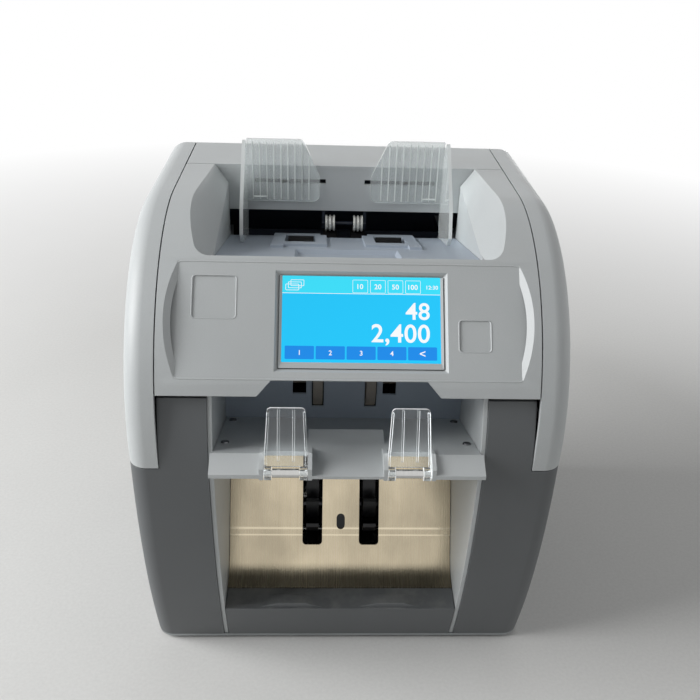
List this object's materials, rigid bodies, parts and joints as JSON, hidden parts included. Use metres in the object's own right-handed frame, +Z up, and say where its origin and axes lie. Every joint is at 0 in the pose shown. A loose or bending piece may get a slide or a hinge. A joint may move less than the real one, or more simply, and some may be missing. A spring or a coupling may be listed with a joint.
{
  "type": "banknote counting machine",
  "caption": "Desktop banknote counter with a top feed hopper, sloping touch display, reject tray with clear hinged stops and a steel-backed stacker pocket between dark pillars.",
  "frame": {"origin": "under the middle of the machine, on the plane its rubber feet rest on", "axes": "+Z up, +X to the right seen from the front, front with the display towards -Y"},
  "size_m": [0.265, 0.26, 0.33],
  "materials": {
    "light_shell": "satin, fine moulded grain",
    "dark_shell": "satin, fine moulded grain",
    "black_plastic": "matt",
    "clear_plastic": "clear, polished",
    "frosted_plastic": "frosted, translucent",
    "white_plastic": "smooth",
    "brushed_sheet": "brushed upright",
    "zinc_sheet": "zinc plated",
    "bright_steel": "turned, bright",
    "rubber": "matt",
    "screen": "lit glass",
    "circuit_board": "solder mask"
  },
  "bodies": {
    "machine": {"base_pan": "zinc_sheet", "rubber_feet": "rubber", "front_lip": "dark_shell", "left_lower_housing": "dark_shell", "right_lower_housing": "dark_shell", "left_side_cover": "light_shell", "right_side_cover": "light_shell", "front_fascia": "light_shell", "touch_display": "screen", "display_board": "circuit_board", "hopper_floor": "light_shell", "left_bay_wall": "light_shell", "right_bay_wall": "light_shell", "reject_tray": "light_shell", "reject_back_wall": "black_plastic", "tray_screws": "bright_steel", "stop_pins": "bright_steel", "stacker_plate": "brushed_sheet", "stack_sensor": "black_plastic", "left_frame_plate": "zinc_sheet", "right_frame_plate": "zinc_sheet", "frame_spacers": "bright_steel", "shaft_bearings": "bright_steel", "main_motor": "bright_steel", "drive_belt": "rubber", "main_board": "circuit_board", "power_supply": "zinc_sheet", "rear_panel": "zinc_sheet", "power_inlet": "black_plastic", "switch_housing": "black_plastic", "data_ports": "bright_steel", "front_path_guide": "black_plastic", "front_sensor_bar": "black_plastic", "door_hinge_rod": "bright_steel"},
    "rear_door": {"rear_door": "light_shell", "hopper_back_plate": "light_shell", "rear_path_guide": "black_plastic", "rear_sensor_bar": "black_plastic"},
    "left_guide": {"left_hopper_guide": "frosted_plastic", "left_guide_rack": "white_plastic"},
    "right_guide": {"right_hopper_guide": "frosted_plastic", "right_guide_rack": "white_plastic"},
    "guide_pinion": {"guide_pinion": "white_plastic"},
    "retard_rollers": {"retard_rollers": "white_plastic"},
    "pinch_rollers": {"pinch_rollers": "rubber"},
    "left_stop": {"left_stop": "clear_plastic"},
    "right_stop": {"right_stop": "clear_plastic"},
    "stacker": {"stacker_shaft": "bright_steel", "stacker_wheels": "black_plastic"},
    "reject": {"reject_shaft": "bright_steel", "reject_wheels": "black_plastic"},
    "pickup": {"pickup_shaft": "bright_steel", "pickup_rollers": "rubber"},
    "feed": {"feed_shaft": "bright_steel", "feed_rollers": "rubber"},
    "transport": {"transport_shaft": "bright_steel", "transport_rollers": "rubber"},
    "motor_pulley": {"motor_pulley": "bright_steel"},
    "diverter_gate": {"diverter_gate": "black_plastic"},
    "power_rocker": {"power_rocker": "black_plastic"}
  },
  "joints": [
    {"name": "rear_door_hinge", "type": "hinge", "parent": "machine", "child": "rear_door", "pos_m": [0, 0.121, 0.096], "axis": [-1, 0, 0], "range_deg": [0, 75]},
    {"name": "left_guide_slide", "type": "slide", "parent": "rear_door", "child": "left_guide", "axis": [1, 0, 0], "range_m": [-0.01, 0.017]},
    {"name": "right_guide_slide", "type": "slide", "parent": "rear_door", "child": "right_guide", "axis": [-1, 0, 0], "range_m": [-0.01, 0.017]},
    {"name": "guide_pinion_spin", "type": "hinge", "parent": "rear_door", "child": "guide_pinion", "pos_m": [0, 0.0682, 0.2984], "axis": [0, 1, 0], "range_deg": [-130, 220]},
    {"name": "retard_roller_spin", "type": "hinge", "parent": "rear_door", "child": "retard_rollers", "pos_m": [0, 0.066, 0.2659], "axis": [1, 0, 0], "continuous": true},
    {"name": "pinch_roller_spin", "type": "hinge", "parent": "rear_door", "child": "pinch_rollers", "pos_m": [0, 0.09475, 0.17], "axis": [1, 0, 0], "continuous": true},
    {"name": "left_stop_hinge", "type": "hinge", "parent": "machine", "child": "left_stop", "pos_m": [-0.0368, -0.1256, 0.1795], "axis": [1, 0, 0], "range_deg": [0, 75], "stiffness_Nm_per_rad": 0.02, "springref_deg": -11.46},
    {"name": "right_stop_hinge", "type": "hinge", "parent": "machine", "child": "right_stop", "pos_m": [0.0368, -0.1256, 0.1795], "axis": [1, 0, 0], "range_deg": [0, 75], "stiffness_Nm_per_rad": 0.02, "springref_deg": -11.46},
    {"name": "stacker_spin", "type": "hinge", "parent": "machine", "child": "stacker", "pos_m": [0, -0.01949, 0.07213], "axis": [1, 0, 0], "continuous": true},
    {"name": "reject_spin", "type": "hinge", "parent": "machine", "child": "reject", "pos_m": [0, -0.024, 0.186], "axis": [1, 0, 0], "continuous": true},
    {"name": "pickup_spin", "type": "hinge", "parent": "machine", "child": "pickup", "pos_m": [0, 0.033, 0.25068], "axis": [1, 0, 0], "continuous": true},
    {"name": "feed_spin", "type": "hinge", "parent": "machine", "child": "feed", "pos_m": [0, 0.066, 0.2474], "axis": [1, 0, 0], "continuous": true},
    {"name": "transport_spin", "type": "hinge", "parent": "machine", "child": "transport", "pos_m": [0, 0.07425, 0.17], "axis": [1, 0, 0], "continuous": true},
    {"name": "motor_spin", "type": "hinge", "parent": "machine", "child": "motor_pulley", "pos_m": [0, 0.032, 0.04], "axis": [1, 0, 0], "continuous": true},
    {"name": "diverter_turn", "type": "hinge", "parent": "machine", "child": "diverter_gate", "pos_m": [0, 0.077, 0.112], "axis": [1, 0, 0], "range_deg": [-10, 10], "stiffness_Nm_per_rad": 0.05},
    {"name": "power_rocker_turn", "type": "hinge", "parent": "machine", "child": "power_rocker", "pos_m": [0.026, 0.124, 0.04], "axis": [-1, 0, 0], "range_deg": [0, 16]}
  ],
  "couplings": [
    {"joint": "right_guide_slide", "follows": "left_guide_slide", "ratio": 1},
    {"joint": "guide_pinion_spin", "follows": "left_guide_slide", "rad_per_m": 222.22},
    {"joint": "reject_spin", "follows": "stacker_spin", "ratio": 1},
    {"joint": "pickup_spin", "follows": "stacker_spin", "ratio": 1},
    {"joint": "feed_spin", "follows": "stacker_spin", "ratio": 1},
    {"joint": "transport_spin", "follows": "stacker_spin", "ratio": 1},
    {"joint": "motor_spin", "follows": "stacker_spin", "ratio": 1}
  ]
}
